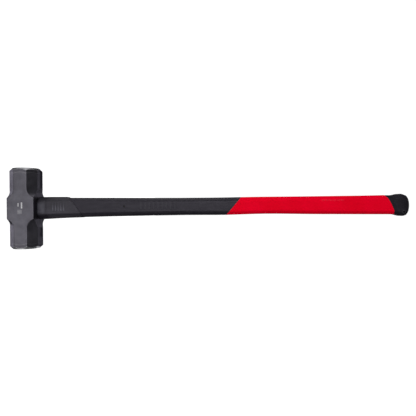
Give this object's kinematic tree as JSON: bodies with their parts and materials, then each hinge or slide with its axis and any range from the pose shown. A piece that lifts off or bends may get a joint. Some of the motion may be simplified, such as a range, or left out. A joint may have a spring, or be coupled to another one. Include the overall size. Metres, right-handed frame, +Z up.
{
  "type": "sledge hammer",
  "caption": "Double-faced sledge hammer: eight-sided steel head with square cheeks on a fibreglass-cored handle with a black jacket, guard, red grip and flared butt knob.",
  "frame": {"origin": "on the floor, at the middle of the head's top side, the side it stands on", "axes": "+Z up the handle, from the head to the butt knob; X along the head, from one striking face to the other, with +X on the side of the lanyard hole; Y across the handle's broad sides"},
  "size_m": [0.1832, 0.0622, 0.9105],
  "materials": {
    "head_steel": "satin dark grey coating over forged steel, ground bright at the bevels of the striking faces",
    "fibreglass": "pultruded glass fibre in dark resin, as moulded",
    "resin": "cast epoxy",
    "dam_rubber": "matte soft rubber",
    "jacket_plastic": "fine-grained black polypropylene with a slight sheen",
    "guard_rubber": "soft black rubber, fine texture",
    "grip_rubber": "soft red rubber, satin",
    "knob_rubber": "pebbled soft black rubber"
  },
  "bodies": {
    "root": {"head": "head_steel", "fibreglass_core": "fibreglass", "eye_resin": "resin", "eye_dam": "dam_rubber", "handle_jacket": "jacket_plastic", "overstrike_guard": "guard_rubber", "grip_sleeve": "grip_rubber", "butt_knob": "knob_rubber"}
  },
  "joints": []
}
